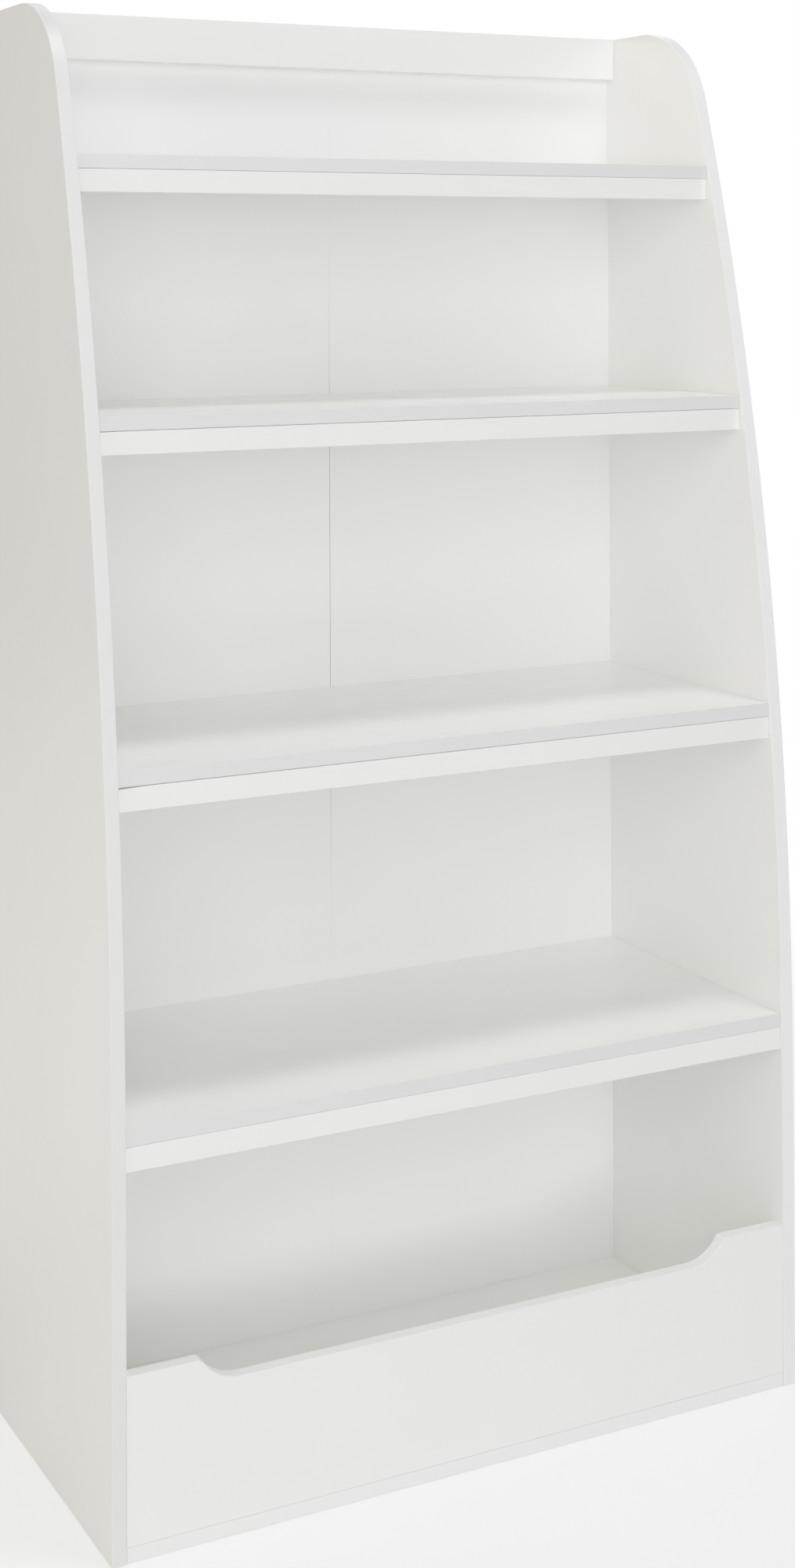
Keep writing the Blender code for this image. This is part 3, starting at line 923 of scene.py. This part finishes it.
def nail_places():
    """(x, z) of the back's nails: up both sides and along the level boards' rear edges."""
    low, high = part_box("back_leaf_left")
    for sign in SIDES.values():
        for z in evenly(low.z + NAIL_END_SPACE, high.z - NAIL_END_SPACE):
            yield sign * (INNER + BOARD / 2), z
    for name in ["bottom_panel"] + [f"shelf_{label}" for label in SHELVES]:
        board_low, board_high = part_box(name)
        level = (board_low.z + board_high.z) / 2
        for x in evenly(NAIL_END_SPACE, BOARD_END - NAIL_END_SPACE):
            yield -x, level
            yield x, level


def back_nails(finishes):
    """Nails that hold the back, each a little out of line as a hammer leaves them."""
    draw = random.Random(NAIL_SEED)
    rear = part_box("back_leaf_left")[1].y
    master = nail_master()
    bm = bmesh.new()
    for x, z in nail_places():
        place = Matrix.Translation((x + draw.uniform(-NAIL_STRAY, NAIL_STRAY), rear,
                                    z + draw.uniform(-NAIL_STRAY, NAIL_STRAY)))
        lean = Matrix.Rotation(math.radians(90 + draw.uniform(-NAIL_LEAN, NAIL_LEAN)), 4, "Z")
        copy = master.copy()
        copy.transform(place @ lean)
        bm.from_mesh(copy)
        bpy.data.meshes.remove(copy)
    obj = link("back_nails", mesh_of(bm, "back_nails"), [finishes["steel"]])
    shade(obj)
    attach(obj, BODY)


def seat(name, master, matrix, finish, nodes):
    """Put a copy of a master mesh in place, with the place inside its vertices."""
    mesh = master.copy()
    mesh.transform(matrix)
    mesh.materials.clear()
    obj = link(name, mesh, [finish])
    shade(obj)
    stand_for(obj, *nodes)


def fasteners(finishes):
    """Cam locks, cam bolts and dowels, each kind from one master mesh."""
    masters = {}
    for name, board, side in hardware("cam_lock_"):
        low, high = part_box(name)
        mouth, height = cam_mouth(name, board)
        if "cam" not in masters:
            masters["cam"] = cam_master((high.x - low.x) / 2, height)
        along, face = Vector((SIDES[side], 0, 0)), cam_face(board)
        axes = Matrix((along, along.cross(face), -face)).transposed().to_4x4()
        seat(f"{name}_fine", masters["cam"], Matrix.Translation(mouth) @ axes,
             finishes["zinc"], [name])
    for kind, finish in (("cam_bolt_", "steel"), ("dowel_", "beech")):
        for name, _, side in hardware(kind):
            low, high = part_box(name)
            sign = SIDES[side]
            middle = (low + high) / 2
            ends = sorted((-sign * low.x + INNER, -sign * high.x + INNER))
            radius = (high.z - low.z) / 2
            if kind not in masters:
                masters[kind] = (bolt_master(*ends, radius) if finish == "steel"
                                 else dowel_master(*ends, radius))
            turn = Matrix.Rotation(math.pi if sign > 0 else 0.0, 4, "Z")
            place = Matrix.Translation((sign * INNER, middle.y, middle.z)) @ turn
            seat(f"{name}_fine", masters[kind], place, finishes[finish], [name])


# ---------------------------------------------------------------- stage
FLOOR_REACH = 14.0
FLOOR_SQUARES = 8
FLOOR_LEVEL = -0.0005    # just under the sides, so that no two faces share a plane


def stage(finishes):
    """The plain floor, which is no part of the object."""
    bm = bmesh.new()
    bmesh.ops.create_grid(bm, x_segments=FLOOR_SQUARES, y_segments=FLOOR_SQUARES, size=FLOOR_REACH)
    floor = link("floor", mesh_of(bm, "floor"), [finishes["floor"]])
    floor.location.z = FLOOR_LEVEL


LIGHT_DISTANCE = 4.6
LIGHT_CENTRE = Vector((0.0, 0.0, 0.7))
LIGHT_AIM = Vector((0.0, 0.0, 0.8))
NEUTRAL = (1.0, 1.0, 1.0)
COOL = (0.95, 0.965, 1.0)
CREAM = (1.0, 0.97, 0.86)
WARM = (1.0, 0.87, 0.68)
# Azimuth in degrees from the front towards +X, elevation, width, height, watts and colour.
SOFTBOXES = {
    "key": (-26.5, 19, 2.6, 2.6, 44.0, NEUTRAL),
    "front": (-10, 25, 1.7, 1.6, 15.0, NEUTRAL),
    "front_low": (-10, 5, 1.7, 1.6, 31.5, COOL),
    "left": (-95, 25, 1.7, 1.6, 22.0, WARM),
    "left_front": (-75, 14, 1.7, 1.6, 28.0, CREAM),
    "right": (60, 45, 1.7, 1.6, 7.0, NEUTRAL),
    "high": (30, 75, 1.0, 1.0, 66.5, COOL),
    "right_side": (105, 8, 1.7, 1.6, 24.0, NEUTRAL),
    "rear_right": (150, 40, 1.7, 1.6, 30.0, NEUTRAL),
    "rear_left": (-150, 40, 1.7, 1.6, 30.0, NEUTRAL),
}
# A weak low light for the bay over the bin front, which the soft boxes reach too little.
FILL_PLACE = Vector((0.34, -1.3, 0.41))
FILL_AIM = Vector((0.34, 0.0, 0.16))
FILL_SIZE = (1.7, 0.20)
FILL_SPREAD = math.radians(20)
FILL_WATTS = 0.19
AMBIENT = 0.08           # strength of the white surroundings as a light
WHITE_BOUNCES = 16
HIGH_KEY_GAMMA = 1.5


def soft_light(name, place, aim, size, watts):
    """A rectangle of light that the camera itself doesn't see."""
    data = bpy.data.lights.new(name, "AREA")
    data.shape = "RECTANGLE"
    data.size, data.size_y = size
    data.energy = watts
    light = bpy.data.objects.new(name, data)
    light.location = place
    light.rotation_euler = (aim - place).to_track_quat("-Z", "Y").to_euler()
    light.visible_camera = False
    bpy.context.scene.collection.objects.link(light)
    return light


def softbox(name, azimuth, elevation, width, height, watts, colour):
    """A soft light on a sphere round the bookcase."""
    around, up = math.radians(azimuth), math.radians(elevation)
    away = Vector((math.sin(around) * math.cos(up), -math.cos(around) * math.cos(up), math.sin(up)))
    place = LIGHT_CENTRE + away * LIGHT_DISTANCE
    light = soft_light(name, place, LIGHT_AIM, (width, height), watts)
    light.data.color = colour


def bin_fill():
    """A low strip in front that reaches only the back, through the opening over the bin front."""
    light = soft_light("bin_fill", FILL_PLACE, FILL_AIM, FILL_SIZE, FILL_WATTS)
    light.data.spread = FILL_SPREAD
    lit = bpy.data.collections.new("lit_by_bin_fill")
    for side in SIDES:
        lit.objects.link(bpy.data.objects[f"back_leaf_{side}_fine"])
    light.light_linking.receiver_collection = lit


def white_surroundings():
    """The camera sees a white studio, and the object gets only a little light from it."""
    world = bpy.data.worlds.new("studio")
    world.use_nodes = True
    tree = world.node_tree
    background = tree.nodes["Background"]
    background.inputs["Color"].default_value = (*NEUTRAL, 1.0)
    seen = node(tree, "ShaderNodeLightPath").outputs["Is Camera Ray"]
    strength = node(tree, "ShaderNodeMapRange", Value=seen, To_Min=AMBIENT, To_Max=1.0)
    tree.links.new(strength.outputs["Result"], background.inputs["Strength"])
    bpy.context.scene.world = world


def studio():
    """All lights, the surroundings, and a high-key view like the photograph's."""
    for name, settings in SOFTBOXES.items():
        softbox(name, *settings)
    bin_fill()
    white_surroundings()
    view = bpy.context.scene.view_settings
    view.view_transform = "Standard"
    view.look = "None"
    view.gamma = HIGH_KEY_GAMMA
    # Light bounces many times between white boards, more often than the default allows.
    cycles = bpy.context.scene.cycles
    cycles.max_bounces = WHITE_BOUNCES
    cycles.diffuse_bounces = WHITE_BOUNCES


# ---------------------------------------------------------------- camera
CAMERA_PLACE = Vector((-1.18731, -2.31937, 1.23203))
CAMERA_YAW = 27.4807     # degrees to the right of +Y
CAMERA_PITCH = 0.8694
CAMERA_ROLL = -0.2376
CAMERA_LENS = 54.167     # mm
CAMERA_SHIFT = (-0.00905, -0.34889)
CAMERA_PLAY = 0.001      # how near to its own place the camera counts as being there
SENSOR_SIDE = 36.0


def held_shift(data, camera, axis, value):
    """Shift the lens only while the camera stands at its own place; elsewhere it looks straight."""
    driver = data.driver_add(axis).driver
    driver.type = "SCRIPTED"
    variable = driver.variables.new()
    variable.name = "x"
    variable.type = "SINGLE_PROP"
    variable.targets[0].id = camera
    variable.targets[0].data_path = "location[0]"
    driver.expression = f"{value} if abs(x - {CAMERA_PLACE.x}) < {CAMERA_PLAY} else 0.0"


def photo_camera():
    """The camera at the photograph's place and angle."""
    data = bpy.data.cameras.new("camera")
    data.sensor_width = SENSOR_SIDE
    data.lens = CAMERA_LENS
    camera = bpy.data.objects.new("camera", data)
    bpy.context.scene.collection.objects.link(camera)
    turn = (Matrix.Rotation(-math.radians(CAMERA_YAW), 4, "Z")
            @ Matrix.Rotation(math.radians(90 + CAMERA_PITCH), 4, "X")
            @ Matrix.Rotation(math.radians(CAMERA_ROLL), 4, "Z"))
    camera.matrix_world = Matrix.Translation(CAMERA_PLACE) @ turn
    for axis, value in zip(("shift_x", "shift_y"), CAMERA_SHIFT):
        held_shift(data, camera, axis, value)
    bpy.context.scene.camera = camera


# ---------------------------------------------------------------- build
def build():
    finishes = make_finishes()
    joiner = Joiner(finishes)
    side_boards(joiner)
    for label in SHELVES:
        # The shelves' bands take a darker copy, with painted shade.
        level_board(joiner, f"shelf_{label}", "shaded_shelf_band")
        foil_wrapped(joiner, f"apron_{label}", APRON_GAPS[label])
    # The bottom panel's band takes the lit copy, with painted light.
    level_board(joiner, "bottom_panel", "lit_band")
    foil_wrapped(joiner, "top_rail")
    bin_front(joiner)
    back(finishes)
    back_nails(finishes)
    fasteners(finishes)
    stage(finishes)
    studio()
    photo_camera()


build()
